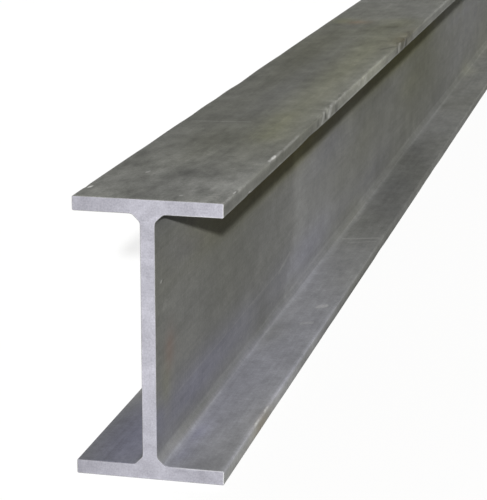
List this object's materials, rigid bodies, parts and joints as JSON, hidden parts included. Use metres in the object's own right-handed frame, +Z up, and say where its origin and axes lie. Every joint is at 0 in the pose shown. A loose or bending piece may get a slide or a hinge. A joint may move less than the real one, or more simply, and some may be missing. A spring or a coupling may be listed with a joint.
{
  "type": "steel i-beam",
  "caption": "Straight rolled steel I-beam with parallel flanges, rounded web roots and square sawn ends; carries load as a girder, joist, lintel or post.",
  "frame": {"origin": "middle of the underside of the bottom flange, half way along the beam", "axes": "+X across the flanges, +Y along the beam away from the end that shows in the picture, +Z up"},
  "size_m": [0.108, 3, 0.203],
  "materials": {
    "rolled_steel": "dull mottled mill scale with scuffs and nicks on the flange edges, bare sawn ends"
  },
  "bodies": {
    "root": {"i_beam": "rolled_steel"}
  },
  "joints": []
}
